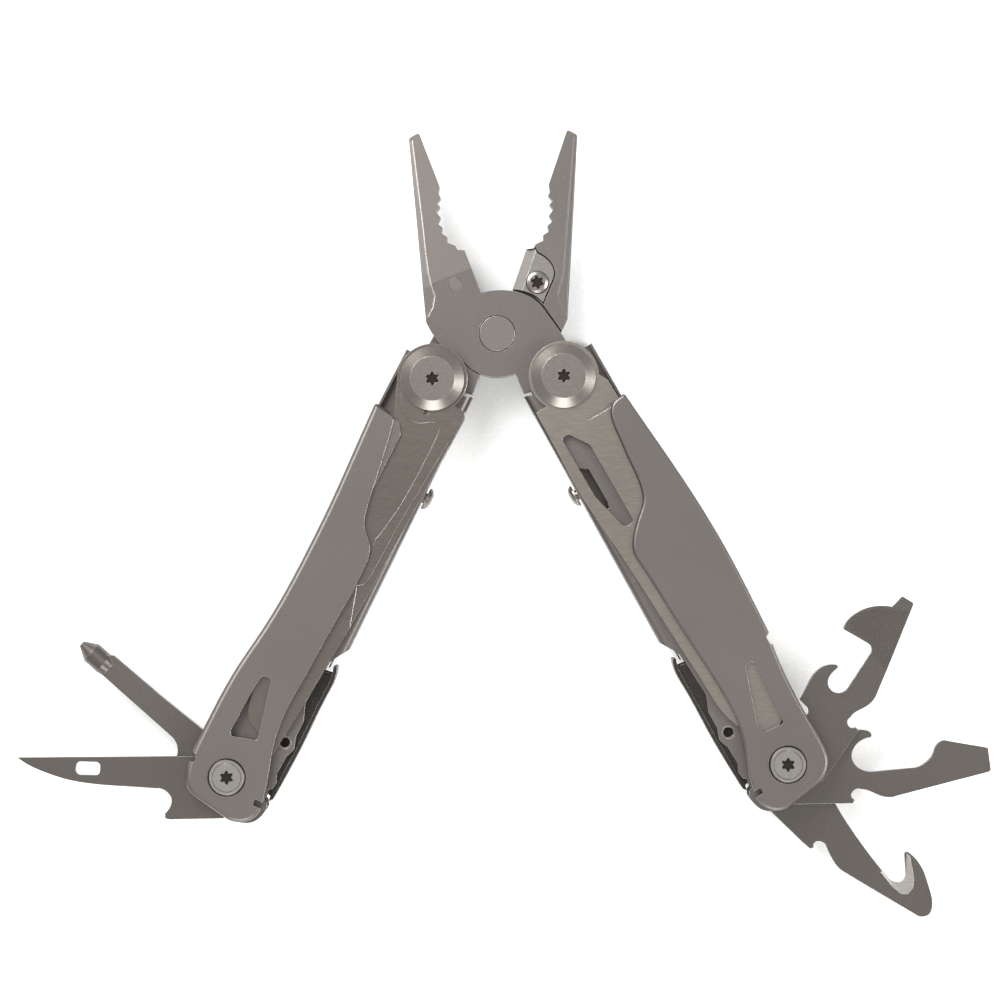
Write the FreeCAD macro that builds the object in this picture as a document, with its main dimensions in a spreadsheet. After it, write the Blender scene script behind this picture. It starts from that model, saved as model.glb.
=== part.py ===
import FreeCAD, Part
import math
import os
import Sketcher

# A folding multi tool lying on its back: pliers open, handles spread, five small tools fanned out.
# Part frame: X to the right and Y towards the jaw tips when the tool is seen from the front,
# Z up out of the table.  Every piece is drawn in a frame of its own (a jaw round the main rivet,
# a handle round its upper pivot, a small tool round its axle) with z = 0 on the tool's mid-plane,
# and is then placed.

Vector = FreeCAD.Vector
BEND = "bend"          # marks a point that a smooth stretch of an outline passes through
FRONT = 1
REAR = -1
FAR = 60.0             # past the end of any piece
OVERCUT = 1.0          # how far a cut runs past the face it opens

# ---------------------------------------------------------------- driving sizes

SIZES = {
    # layout, seen from the front
    "rivet_x": (-1.467, "main rivet from the origin"),
    "rivet_y": (38.07, "main rivet from the origin"),
    "pivot_reach": (15.75, "main rivet to a handle's upper pivot"),
    "pivot_lean": (36.05, "that line from the jaws' centre line, degrees"),
    "front_jaw_lean": (21.1, "front jaw from upright, opened"),
    "back_jaw_lean": (18.75, "back jaw from upright, opened"),
    "left_lean": (27.26, "left handle from upright"),
    "right_lean": (29.96, "right handle from upright"),
    "axle_drop": (89.0, "upper pivot to tool axle"),
    "screwdriver_lean": (48.4, "cross driver from upright"),
    "awl_lean": (86.2, "awl blade from upright"),
    "opener_lean": (37.5, "can opener from upright"),
    "flat_driver_lean": (90.0, "flat driver from upright"),
    "strap_cutter_lean": (138.0, "strap cutter from upright"),
    # levels, from the mid-plane out
    "jaw_half": (4.5, "half the jaws' thickness"),
    "lap_gap": (0.05, "half the gap between the two jaw discs"),
    "channel_half": (5.0, "inner face of a handle's side wall"),
    "wall_face": (6.0, "outer face of a handle's side wall"),
    "washer_face": (6.2, "outer face of the blade washer"),
    "blade_near": (6.25, "inner face of an outer blade"),
    "blade_far": (8.2, "outer face of an outer blade"),
    "cover_near": (8.4, "inner face of a cover plate"),
    "cover_face": (9.4, "outer face of a cover plate"),
    "head_face": (10.2, "outer face of the screw heads"),
    # jaws
    "rivet_radius": (3.62, "main rivet"),
    "disc_radius": (8.75, "round lap of a jaw"),
    "disc_room": (8.95, "space that the other jaw's lap turns in"),
    "eye_radius": (6.65, "round eye of a jaw at the handle pivot"),
    "cutter_screw_radius": (1.35, "cutter screw's shank"),
    "cutter_head_radius": (2.3, "cutter screw's head"),
    "cutter_screw_x": (-4.3, "cutter screw, from the jaw's centre line"),
    "cutter_screw_y": (12.2, "cutter screw, from the main rivet"),
    "cutter_near": (1.2, "seat of a wire cutter"),
    "cutter_face": (4.15, "outer face of a wire cutter"),
    "tip_half": (3.0, "half the jaws' thickness at the tip"),
    # handles
    "post_radius": (3.0, "upper pivot post"),
    "journal_radius": (2.4, "end of the post that a blade turns on"),
    "button_radius": (6.35, "pivot button"),
    "button_flat": (4.4, "flat top of a pivot button"),
    "button_rim": (8.95, "level where its bevel starts"),
    "washer_radius": (4.6, "blade washer"),
    "tang_radius": (6.95, "round tang of an outer blade"),
    "wall_round": (7.0, "round end of a handle's side wall"),
    "axle_radius": (2.2, "tool axle"),
    "axle_head_radius": (3.57, "head of an axle screw"),
    "axle_head_flat": (2.75, "flat inside the rounded rim of that head"),
    "axle_head_room": (3.8, "hole in the cover round that head"),
    "spacer_radius": (4.2, "tool spacer"),
    "recess_radius": (1.4, "six lobed recess over its lobes"),
    "recess_waist": (0.95, "six lobed recess between its lobes"),
    "recess_depth": (1.5, "six lobed recess"),
    "lock_pin_radius": (1.3, "pin of a lock rocker"),
    "lock_pin_bore": (1.02, "hollow in each end of that pin"),
    "lock_pin_floor": (1.0, "bottom of that hollow"),
    "lock_pin_x": (7.0, "lock pin, from the handle's axis"),
    "lock_pin_y": (-77.7, "lock pin, from the upper pivot"),
    "stud_radius": (2.25, "head of a stop stud"),
    "stud_neck": (1.1, "neck of a stop stud"),
    "stud_y": (-21.8, "stop stud, from the upper pivot"),
    # small tools, levels of each blade in the channel
    "awl_low": (0.6, "inner face of the awl blade"),
    "awl_high": (3.0, "outer face of the awl blade"),
    "screwdriver_low": (-3.4, "inner face of the cross driver"),
    "screwdriver_high": (-0.4, "outer face of the cross driver"),
    "opener_low": (1.35, "inner face of the can opener"),
    "opener_high": (3.75, "outer face of the can opener"),
    "flat_driver_low": (-1.2, "lower face of the flat driver"),
    "flat_driver_high": (1.2, "upper face of the flat driver"),
    "strap_cutter_low": (-3.75, "outer face of the strap cutter"),
    "strap_cutter_high": (-1.35, "inner face of the strap cutter"),
    # fits
    "run": (0.05, "radial clearance of a turning fit"),
    "side_play": (0.05, "clearance beside a turning part"),
}

doc = FreeCAD.newDocument("multi_tool")
sheet = doc.addObject("Spreadsheet::Sheet", "Sizes")
for row, (name, (value, note)) in enumerate(SIZES.items(), 1):
    sheet.set("A%d" % row, name)
    sheet.set("B%d" % row, str(value))
    sheet.setAlias("B%d" % row, name)
    sheet.set("C%d" % row, note)
doc.recompute()


class Size(float):
    """A number that keeps the spreadsheet expression it was worked out from."""

    def __new__(cls, value, text):
        number = super().__new__(cls, value)
        number.text = text
        return number

    def __add__(self, other):
        return Size(float(self) + float(other), "(%s + %s)" % (self.text, written(other)))

    def __sub__(self, other):
        return Size(float(self) - float(other), "(%s - %s)" % (self.text, written(other)))

    def __neg__(self):
        return Size(-float(self), "(0 - %s)" % self.text)


def written(value):
    """The expression of a number, or the number itself."""
    return getattr(value, "text", None) or repr(float(value))


def size(name):
    """A driving size from the spreadsheet."""
    return Size(sheet.get(name), "Sizes." + name)


def levels(side, near, far):
    """Lowest and highest level of a layer that lies on the front or the rear side."""
    if side == FRONT:
        return near, far
    return -far, -near


# ---------------------------------------------------------------- drawing

def new_body(label):
    body = doc.addObject("PartDesign::Body", label)
    body.Label = label
    return body


def new_sketch(body, level=None, role="XY_Plane"):
    """An empty sketch on one of the body's own planes, raised to a level."""
    sketch = body.newObject("Sketcher::SketchObject", body.Label + "_sketch")
    plane = [item for item in body.Origin.OriginFeatures if item.Role == role][0]
    sketch.AttachmentSupport = [(plane, "")]
    sketch.MapMode = "FlatFace"
    if level is not None:
        sketch.AttachmentOffset = FreeCAD.Placement(Vector(0, 0, float(level)), FreeCAD.Rotation())
        sketch.setExpression("AttachmentOffset.Base.z", written(level))
    return sketch


def corner_arc(before, corner, after, radius):
    """Start, middle and end of the arc that rounds a corner."""
    back = (before - corner).normalize()
    ahead = (after - corner).normalize()
    half = back.getAngle(ahead) / 2
    start = corner + back * (radius / math.tan(half))
    end = corner + ahead * (radius / math.tan(half))
    inward = (back + ahead).normalize()
    middle = corner + inward * (radius / math.sin(half) - radius)
    return start, middle, end


def draw(sketch, points, flip=1):
    """Draw a closed outline.

    (x, y) is a sharp corner and (x, y, radius) a rounded one between straight edges;
    (x, y, BEND) is a point that a smooth curve between two corners passes through.
    """
    spots = [Vector(flip * point[0], point[1], 0) for point in points]
    marks = [point[2] if len(point) > 2 else 0 for point in points]
    count = len(points)
    corners = [index for index in range(count) if marks[index] != BEND]
    leave = dict((index, spots[index]) for index in corners)
    reach = dict(leave)
    for index in corners:
        if marks[index]:
            arc = corner_arc(spots[index - 1], spots[index], spots[(index + 1) % count], marks[index])
            reach[index], leave[index] = arc[0], arc[2]
            sketch.addGeometry(Part.Arc(*arc), False)
    for first, last in zip(corners, corners[1:] + [corners[0] + count]):
        stops = [spots[index % count] for index in range(first + 1, last)]
        stops = [leave[first]] + stops + [reach[last % count]]
        if len(stops) > 2:
            curve = Part.BSplineCurve()
            curve.interpolate(stops)
            sketch.addGeometry(curve, False)
        else:
            sketch.addGeometry(Part.LineSegment(*stops), False)


def draw_bound(sketch, points):
    """Draw a closed polygon whose corners are all bound to the spreadsheet."""
    lines = []
    for first, last in zip(points, points[1:] + points[:1]):
        start = Vector(float(first[0]), float(first[1]), 0)
        end = Vector(float(last[0]), float(last[1]), 0)
        lines.append(sketch.addGeometry(Part.LineSegment(start, end), False))
    for line, following in zip(lines, lines[1:] + lines[:1]):
        sketch.addConstraint(Sketcher.Constraint("Coincident", line, 2, following, 1))
    for line, point in zip(lines, points):
        for kind, value in zip(("DistanceX", "DistanceY"), point):
            index = sketch.addConstraint(Sketcher.Constraint(kind, line, 1, float(value)))
            if hasattr(value, "text"):
                sketch.setExpression("Constraints[%d]" % index, written(value))


def draw_circle(sketch, radius, x=0.0, y=0.0):
    """Draw a circle bound to the spreadsheet."""
    circle = sketch.addGeometry(Part.Circle(Vector(float(x), float(y), 0), Vector(0, 0, 1), float(radius)))
    index = sketch.addConstraint(Sketcher.Constraint("Radius", circle, float(radius)))
    sketch.setExpression("Constraints[%d]" % index, written(radius))
    for kind, value in (("DistanceX", x), ("DistanceY", y)):
        index = sketch.addConstraint(Sketcher.Constraint(kind, circle, 3, float(value)))
        if hasattr(value, "text"):
            sketch.setExpression("Constraints[%d]" % index, written(value))


def draw_recess(sketch):
    """Draw the six lobes of a screw's driving recess."""
    middle = float(size("recess_radius") + size("recess_waist")) / 2
    swing = float(size("recess_radius") - size("recess_waist")) / 2
    points = []
    for step in range(36):
        angle = math.radians(10 * step)
        radius = middle + swing * math.cos(6 * angle)
        points.append(Vector(radius * math.cos(angle), radius * math.sin(angle), 0))
    curve = Part.BSplineCurve()
    curve.interpolate(points, PeriodicFlag=True)
    sketch.addGeometry(curve, False)


# ---------------------------------------------------------------- making

def settle(body, feature):
    """Recompute, and stop where a feature failed."""
    doc.recompute()
    if "Invalid" in feature.State or "Error" in feature.State or feature.Shape.isNull():
        raise RuntimeError("%s: %s failed" % (body.Label, feature.Name))


def raise_plate(body, sketch, low, high):
    """Pad a sketch that lies at the low level up to the high level."""
    pad = body.newObject("PartDesign::Pad", body.Label + "_plate")
    pad.Profile = sketch
    pad.setExpression("Length", "%s - %s" % (written(high), written(low)))
    sketch.Visibility = False
    settle(body, pad)
    return pad


def cut_down(body, sketch, low, high):
    """Pocket a sketch that lies at the low level up to the high level."""
    before = body.Shape.Volume
    pocket = body.newObject("PartDesign::Pocket", body.Label + "_cut")
    pocket.Profile = sketch
    pocket.Reversed = True
    pocket.setExpression("Length", "%s - %s" % (written(high), written(low)))
    settle(body, pocket)
    if body.Shape.Volume > before - 1e-4:
        raise RuntimeError(body.Label + ": a pocket cuts nothing")
    return pocket


def plate(body, points, low, high, flip=1):
    sketch = new_sketch(body, low)
    draw(sketch, points, flip)
    return raise_plate(body, sketch, low, high)


def cutout(body, points, low, high, flip=1):
    sketch = new_sketch(body, low)
    draw(sketch, points, flip)
    return cut_down(body, sketch, low, high)


def disc(body, radius, low, high, x=0.0, y=0.0):
    sketch = new_sketch(body, low)
    draw_circle(sketch, radius, x, y)
    return raise_plate(body, sketch, low, high)


def bore(body, radius, low, high, x=0.0, y=0.0):
    sketch = new_sketch(body, low)
    draw_circle(sketch, radius, x, y)
    return cut_down(body, sketch, low, high)


def turn(body, points, along="V_Axis", role="XZ_Plane"):
    """Revolve a profile bound to the spreadsheet about an axis of its sketch."""
    sketch = new_sketch(body, role=role)
    draw_bound(sketch, points)
    feature = body.newObject("PartDesign::Revolution", body.Label + "_turned")
    feature.Profile = sketch
    feature.ReferenceAxis = (sketch, [along])
    feature.Angle = 360
    settle(body, feature)
    return feature


def cut_across(body, points, role):
    """Pocket a profile drawn on an upright plane, both ways through the whole piece."""
    before = body.Shape.Volume
    sketch = new_sketch(body, role=role)
    draw(sketch, points)
    pocket = body.newObject("PartDesign::Pocket", body.Label + "_cut")
    pocket.Profile = sketch
    pocket.Type = "ThroughAll"
    pocket.SideType = "Symmetric"
    settle(body, pocket)
    if body.Shape.Volume > before - 1e-4:
        raise RuntimeError(body.Label + ": a pocket cuts nothing")
    return pocket


def edges_of(body, wanted):
    """Names of the edges of the piece so far that a test picks out."""
    edges = body.Tip.Shape.Edges
    return ["Edge%d" % number for number, edge in enumerate(edges, 1) if wanted(edge)]


def round_edges(body, radius, wanted):
    """Round edges with one radius."""
    base = body.Tip
    names = edges_of(body, wanted)
    fillet = body.newObject("PartDesign::Fillet", body.Label + "_round")
    fillet.Base = (base, names)
    fillet.Radius = radius
    settle(body, fillet)


def bevel_edges(body, along, depth, wanted):
    """Bevel edges by two distances."""
    base = body.Tip
    names = edges_of(body, wanted)
    chamfer = body.newObject("PartDesign::Chamfer", body.Label + "_bevel")
    chamfer.Base = (base, names)
    chamfer.ChamferType = "Two distances"
    chamfer.Size = along
    chamfer.Size2 = depth
    settle(body, chamfer)
    return chamfer


def at_level(edge, level):
    """Whether an edge lies flat at a level."""
    box = edge.BoundBox
    return abs(box.ZMin - float(level)) < 1e-4 and abs(box.ZMax - float(level)) < 1e-4


# ---------------------------------------------------------------- where things are

def placed(x, y, lean):
    """A frame at (x, y) on the mid-plane, leaning from upright; a positive lean is to the left."""
    spin = FreeCAD.Rotation(Vector(0, 0, 1), float(lean))
    return FreeCAD.Placement(Vector(float(x), float(y), float(size("head_face"))), spin)


OVER = FreeCAD.Placement(Vector(0, 0, 0), FreeCAD.Rotation(Vector(0, 1, 0), 180))

FRONT_JAW = placed(size("rivet_x"), size("rivet_y"), size("front_jaw_lean"))
BACK_JAW = placed(size("rivet_x"), size("rivet_y"), -size("back_jaw_lean"))

pivot_side = float(size("pivot_reach")) * math.sin(math.radians(size("pivot_lean")))
pivot_drop = float(size("pivot_reach")) * math.cos(math.radians(size("pivot_lean")))
right_pivot = FRONT_JAW.multVec(Vector(pivot_side, -pivot_drop, 0))
left_pivot = BACK_JAW.multVec(Vector(-pivot_side, -pivot_drop, 0))

HANDLE = {
    "left": placed(left_pivot.x, left_pivot.y, -size("left_lean")),
    "right": placed(right_pivot.x, right_pivot.y, size("right_lean")),
}
FLIP = {"left": 1, "right": -1}      # the handle's web is on +X of its own frame on the left handle

left_axle = HANDLE["left"].multVec(Vector(0, -float(size("axle_drop")), 0))
right_axle = HANDLE["right"].multVec(Vector(0, -float(size("axle_drop")), 0))

# ---------------------------------------------------------------- jaws

# Hollow of the pipe grip with its teeth, from the tip downwards.
GRIP_TEETH = [
    (-0.15, 31.5), (-0.85, 30.2), (-0.75, 29.3), (-1.95, 28.6), (-1.55, 27.7), (-2.6, 27.0),
    (-2.2, 25.6), (-3.2, 24.7), (-2.55, 23.6), (-3.15, 22.6), (-2.35, 21.5), (-2.75, 20.5),
    (-1.5, 19.3), (-1.4, 18.4),
]


def jaw_outline():
    """One jaw's nose, lap, shoulder and eye, from the tip down the inner side and back."""
    eye = float(size("eye_radius"))
    lap = float(size("disc_radius"))
    nose = [(-2.45, 42.7, 0.7), (-0.1, 43.1, 0.5)]
    inner = GRIP_TEETH + [(-0.1, 17.8), (-0.1, lap - 0.01)]
    lap_top = [(3.4, 7.95, BEND), (7.8, 5.4, BEND)]
    shoulder = [(10.35, 1.5), (11.9, -4.4)]
    below = []
    for degrees in range(40, -181, -20):
        angle = math.radians(degrees)
        below.append((pivot_side + eye * math.cos(angle), -pivot_drop + eye * math.sin(angle), BEND))
    tail = [(12.3, -6.4)] + below + [(2.7, -13.1), (0.75, -13.1), (0.6, -8.72)]
    lap_foot = [(-1.5, -8.62, BEND), (-4.4, -7.55, BEND), (-6.9, -5.4, BEND), (-8.25, -2.9)]
    outer = [(-10.9, -0.6), (-12.2, 5.6), (-12.4, 7.2, 0.5)]
    return nose + inner + lap_top + shoulder + tail + lap_foot + outer


CUTTER_GAP = 0.3       # open joint round a wire cutter


def cutter_outline(grow=0.0):
    """Seat and body of the replaceable wire cutter, on the side away from the lap."""
    return [
        (-0.1, 9.35 - grow), (-0.1, 17.8), (-1.42, 18.4), (-1.6, 18.5 + grow), (-2.6, 17.7 + grow),
        (-4.3, 17.3 + grow, BEND), (-6.1, 16.2 + grow, BEND), (-7.0 - grow, 14.2),
        (-6.6 - grow, 8.75 - grow), (-3.6, 9.75 - grow, BEND), (-2.0, 9.7 - grow, BEND),
    ]


def make_jaw(label, frame):
    """A jaw seen with its lap towards the front; the other jaw is the same piece turned over."""
    body = new_body(label)
    half = size("jaw_half")
    gap = size("lap_gap")
    plate(body, jaw_outline(), -half, half)
    # the other jaw's lap, shoulder and tail turn in the rear half
    shoulder_room = [
        (0.3, 9.3), (-0.8, 9.6), (-2.6, 9.9), (-4.2, 9.6), (-7.05, 8.2), (-13.1, 3.8),
        (-14.0, 0.0), (-14.0, -7.6), (14.5, -7.6), (14.5, 9.1),
    ]
    cutout(body, shoulder_room, -half - OVERCUT, gap)
    bore(body, size("disc_room"), -half - OVERCUT, gap)
    # thinner towards the tip
    tip = float(size("tip_half"))
    thick = float(half)
    for sign in (1, -1):
        cut_across(body, [(14.0, sign * thick), (44.5, sign * tip), (44.5, sign * 2 * thick),
                          (14.0, sign * 2 * thick)], "YZ_Plane")
    bore(body, size("rivet_radius") + size("run"), -half - OVERCUT, half + OVERCUT)
    sketch = new_sketch(body, -half - OVERCUT)
    draw_circle(sketch, size("post_radius") + size("run"), pivot_side, -pivot_drop)
    cut_down(body, sketch, -half - OVERCUT, half + OVERCUT)
    cutout(body, cutter_outline(CUTTER_GAP), -half - OVERCUT, -size("cutter_near"))
    bore(body, size("cutter_screw_radius"), -half - OVERCUT, half + OVERCUT,
         size("cutter_screw_x"), size("cutter_screw_y"))
    body.Placement = frame
    return body


def make_cutter(label, frame):
    body = new_body(label)
    near = -size("cutter_near")
    face = -size("cutter_face")
    plate(body, cutter_outline(), face, near)
    bore(body, size("cutter_screw_radius"), face - OVERCUT, near + OVERCUT,
         size("cutter_screw_x"), size("cutter_screw_y"))
    bevel_edges(body, 1.1, 1.9, lambda edge: at_level(edge, face) and edge.BoundBox.XMin > -0.2)
    body.Placement = frame
    return body


def make_cutter_screw(label, frame):
    body = new_body(label)
    shank = size("cutter_screw_radius")
    head = size("cutter_head_radius")
    face = -size("cutter_face")
    top = -size("jaw_half") - 0.25
    shank = shank - size("run")
    end = size("jaw_half") - 0.1
    turn(body, [(0.0, end), (0.0, top), (head - 0.7, top), (head - 0.2, top + 0.2), (head, top + 0.45),
                (head, face), (shank, face), (shank, end)])
    sketch = new_sketch(body, top)
    draw_recess(sketch)
    cut_down(body, sketch, top, top + 1.1)
    spot = Vector(float(size("cutter_screw_x")), float(size("cutter_screw_y")), 0)
    body.Placement = frame.multiply(FreeCAD.Placement(spot, FreeCAD.Rotation()))
    return body


def make_rivet():
    body = new_body("main_pivot_rivet")
    radius = size("rivet_radius")
    half = size("jaw_half")
    turn(body, [(0.0, -half), (radius - 0.15, -half), (radius, -half + 0.15), (radius, half - 0.15),
                (radius - 0.15, half), (0.0, half)])
    body.Placement = FRONT_JAW
    return body


# ---------------------------------------------------------------- handles

# Opening side of each handle from the top down; the two shapes nest when the tool is folded.
OPENING_EDGE = {
    "left": [(-7.3, -20.0), (-6.7, -31.0), (-6.5, -42.0), (-6.65, -52.0), (-7.3, -60.5),
             (-8.3, -69.0), (-8.6, -78.0)],
    "right": [(-9.6, -20.0), (-10.3, -29.0), (-10.78, -40.0), (-10.65, -51.0), (-10.2, -59.0)],
}
# S shaped inner edge of each cover from the top down.
COVER_EDGE = {
    "left": [(-1.7, -17.5), (-0.6, -24.0), (0.3, -29.0), (1.9, -32.8), (4.3, -35.3), (5.15, -38.5),
             (5.1, -50.0), (4.65, -64.0), (4.65, -75.0), (5.6, -80.0), (7.2, -85.0)],
    "right": [(-5.2, -9.8), (-4.1, -11.5), (-3.4, -15.5), (-2.9, -20.0), (-2.3, -26.0), (-1.2, -29.2),
              (1.0, -31.4), (4.2, -34.7), (5.4, -36.8), (5.5, -40.5), (5.1, -50.0), (4.5, -62.0),
              (4.15, -71.5), (4.6, -77.5), (6.0, -82.5), (7.6, -86.5)],
}
WEB_TOP = 0.4
WEB_FOOT = -55.5
WEB_TOP_X = 8.8
WEB_FOOT_X = 9.95
WEB_BEND = 1.3         # outer radius of the bend between web and side wall
SHEET = 1.0            # sheet the handles are folded from


def bends(points, inset=0.0):
    return [(x + inset, y, BEND) for x, y in points]


ROLL = {"left": 0.88, "right": 0.6}    # rolled edge of a cover on its opening side
COVER_CORNER = {"left": (-7.9, -9.4), "right": (-8.7, -9.0)}


def cover_outline(hand):
    """Outline of a cover plate."""
    if hand == "left":
        top = [(-7.9, -9.4, 0.5), (-4.4, -9.8), (-3.1, -10.7)]
        foot = [(8.45, -89.6), (8.9, -91.4), (8.3, -94.0, BEND), (6.3, -95.8, BEND), (3.5, -96.3),
                (-4.2, -95.3), (-6.4, -94.0, BEND), (-7.6, -91.8, BEND), (-8.1, -89.6),
                (-7.2, -89.3), (-7.2, -87.9), (-8.4, -87.5)]
    else:
        top = [(-8.7, -9.0, 0.5), (-6.9, -9.1)]
        foot = [(8.35, -89.6), (8.75, -91.4), (8.2, -93.9, BEND), (6.6, -95.7, BEND), (4.0, -96.3),
                (-3.2, -95.3), (-5.7, -94.2, BEND), (-7.3, -92.3, BEND), (-8.0, -89.0, BEND),
                (-8.1, -82.0, BEND), (-8.4, -74.0, BEND), (-9.3, -66.8), (-8.9, -66.6),
                (-8.9, -64.9), (-9.85, -64.4)]
    edge = bends(COVER_EDGE[hand])
    return top + edge + foot + bends(OPENING_EDGE[hand][::-1])


def cover_hollow(hand):
    """The space under a cover: all but its wall along the opening side and the foot."""
    wall = SHEET + 0.05
    if hand == "left":
        foot = [(7.7, -90.4), (7.1, -93.3, BEND), (5.7, -94.7, BEND), (3.4, -95.2), (-3.8, -94.2),
                (-5.6, -93.2, BEND), (-6.4, -91.6, BEND), (-6.0, -89.4), (-6.0, -87.6), (-7.3, -87.0)]
        start = (-6.8, -9.0)
    else:
        foot = [(7.6, -90.4), (7.0, -93.2, BEND), (5.8, -94.7, BEND), (3.8, -95.2), (-2.9, -94.2),
                (-5.0, -93.2, BEND), (-6.3, -91.6, BEND), (-6.95, -88.8, BEND), (-7.05, -82.0, BEND),
                (-7.3, -74.0, BEND), (-7.9, -68.0), (-7.7, -63.0), (-8.8, -62.5)]
        start = (-7.6, -9.0)
    edge = bends(OPENING_EDGE[hand][::-1], wall)
    return [(start[0], 8.0), (FAR, 8.0), (FAR, -90.4)] + foot + edge + [start]


def cover_window(hand):
    if hand == "left":
        return [(-2.9, -67.6, 0.9), (-1.0, -67.7, 0.9), (2.05, -79.7, 0.6), (-3.0, -81.3, 0.8),
                (-3.55, -80.4, 0.7), (-3.35, -71.0)]
    return [(-4.3, -67.6, 0.7), (-2.5, -67.7, 0.8), (1.4, -79.3, 0.6), (0.9, -81.0, 0.5),
            (-3.4, -81.5, 0.6), (-4.3, -70.0)]


def make_cover(hand, side, label):
    body = new_body(label)
    flip = FLIP[hand]
    face_near, face_far = size("wall_face") + 0.02, size("cover_face")
    low, high = levels(side, face_near, face_far)
    plate(body, cover_outline(hand), low, high, flip)
    low, high = levels(side, face_near - OVERCUT, size("cover_near"))
    cutout(body, cover_hollow(hand), low, high, flip)
    low, high = levels(side, size("cover_near") - OVERCUT, face_far + OVERCUT)
    cutout(body, cover_window(hand), low, high, flip)
    bore(body, size("axle_head_room"), low, high, 0.0, -size("axle_drop"))
    notch = [(7.0, -90.2, 0.4), (10.0, -90.2), (10.0, -91.45), (7.0, -91.45, 0.4)]
    low, high = levels(side, size("wall_face") - OVERCUT, face_far + OVERCUT)
    cutout(body, notch, low, high, flip)
    if side == FRONT and hand == "left":
        lip = [(-4.0, -10.6), (-2.0, -10.7), (-0.45, -12.7, 1.4), (-0.4, -24.0), (-0.6, -26.0),
               (-4.0, -24.0)]
        plate(body, lip, size("cover_near"), size("cover_near") + 0.45, flip)
    face = face_far if side == FRONT else -face_far

    def rolled(edge):
        middle = edge.valueAt((edge.FirstParameter + edge.LastParameter) / 2)
        outward = -flip * middle.x
        along_side = outward > 5.5 and edge.Length > 6.0 and middle.y < -14.0
        return at_level(edge, face) and along_side

    round_edges(body, ROLL[hand], rolled)
    if side == REAR:
        # an ear runs up beside the pivot
        x, y = COVER_CORNER[hand]
        ear = [(x + 0.3, 3.1), (x + 0.85, 3.1), (x + 0.85, y - 2.6), (x + 0.3, y - 2.6)]
        low, high = levels(side, face_near, face_far - 0.2)
        plate(body, ear, low, high, flip)
        web = [(x + 0.3, 3.1), (-6.75, 3.1), (-6.75, -1.5), (-6.0, -3.7), (-4.2, -6.6), (-3.4, -11.0),
               (x + 0.3, -11.6)]
        low, high = levels(side, size("cover_near") + 0.05, face_far - 0.2)
        plate(body, web, low, high, flip)
    body.Placement = HANDLE[hand]
    return body


def wall_outline(hand):
    """Side wall of the folded sheet frame, with the web's outer face along its inner side."""
    inset = 0.3
    radius = float(size("wall_round"))
    crown = []
    for degrees in range(-2, 205, 17):
        angle = math.radians(degrees)
        crown.append((radius * math.cos(angle), radius * math.sin(angle), BEND))
    crown[0] = crown[0][:2]
    crown[-1] = crown[-1][:2]
    neck = [(-5.0, -6.2), (-3.5, -8.6), (-2.7, -10.3)]
    if hand == "left":
        shoulder = [(-7.5, -10.3)]
        side = bends(OPENING_EDGE[hand], inset) + [(-8.1, -87.2), (-6.9, -87.6), (-6.9, -89.4)]
        foot = [(-7.7, -89.8), (-7.2, -91.8, BEND), (-6.1, -93.6, BEND), (-4.1, -95.0), (3.5, -96.0)]
    else:
        shoulder = [(-8.5, -10.3)]
        side = bends(OPENING_EDGE[hand], inset) + [(-9.5, -64.1), (-8.6, -64.6), (-8.6, -66.8)]
        side += [(-8.1, -74.0, BEND), (-7.8, -82.0, BEND), (-7.7, -89.0, BEND), (-6.9, -92.2, BEND)]
        foot = [(-5.4, -93.9, BEND), (-3.1, -95.0), (3.8, -96.0)]
    heel = [(6.6, -95.9, BEND), (8.7, -94.6, BEND), (9.7, -92.4, BEND), (9.8, -90.9), (9.3, -90.0),
            (8.6, -89.7), (8.5, -87.5)]
    wave = [(9.1, -87.1, 0.3), (9.3, -85.6, 0.5), (8.5, -84.0, 0.5), (8.6, -80.2, 0.7),
            (9.35, -78.2, 0.7), (8.5, -75.8, 0.8), (8.45, -72.3, 0.7), (7.1, -69.0), (7.5, -60.0)]
    web = [(8.2, -58.4), (WEB_FOOT_X, WEB_FOOT), (WEB_TOP_X, WEB_TOP)]
    return crown + neck + shoulder + side + foot + heel + wave + web


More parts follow.
